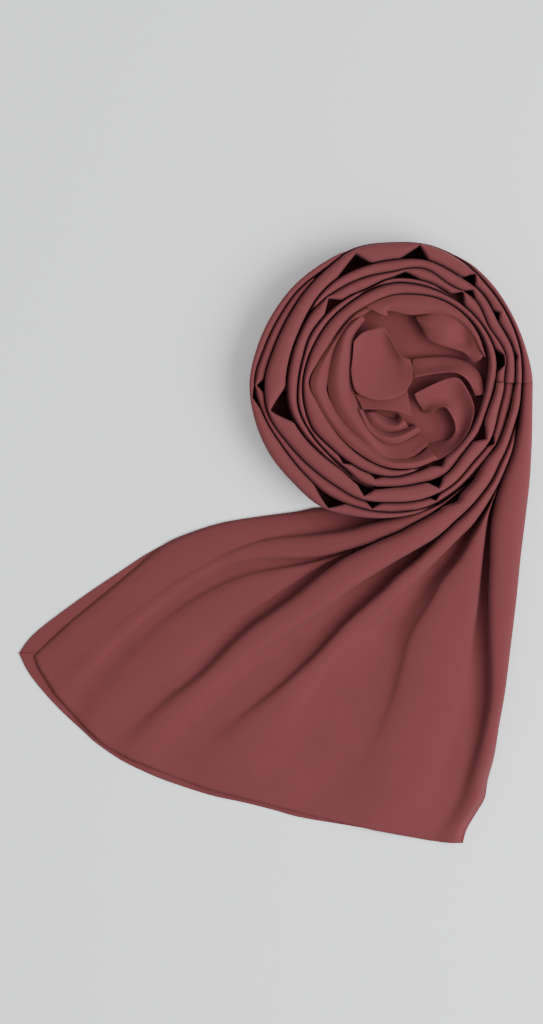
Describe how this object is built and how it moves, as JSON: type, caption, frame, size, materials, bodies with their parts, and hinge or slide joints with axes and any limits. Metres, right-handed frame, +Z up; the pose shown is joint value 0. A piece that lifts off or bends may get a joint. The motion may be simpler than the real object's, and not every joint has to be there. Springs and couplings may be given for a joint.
{
  "type": "hijab headscarf",
  "caption": "Plain crepe hijab headscarf, folded in half lengthwise, pleated, wound into a flat rose-like coil with its free end fanned out flat on the table.",
  "frame": {"origin": "middle of the whole scarf's box, on the table that it lies on", "axes": "+Z up from the table, +Y from the fanned hem towards the coil, +X towards the fan's folded edge"},
  "size_m": [0.3786, 0.4434, 0.0356],
  "materials": {
    "crepe_fan": "matte dusty rose crepe, fine pebbled weave, soft sheen",
    "crepe_coil": "matte dusty rose crepe, fine pebbled weave, soft sheen",
    "crepe_core": "matte dusty rose crepe with a narrow overlocked edge"
  },
  "bodies": {
    "root": {"fan_under_layer": "crepe_fan", "fan_upper_layer": "crepe_fan", "outer_turn": "crepe_coil", "inner_turn": "crepe_coil", "last_turn": "crepe_coil", "core": "crepe_core"}
  },
  "joints": []
}
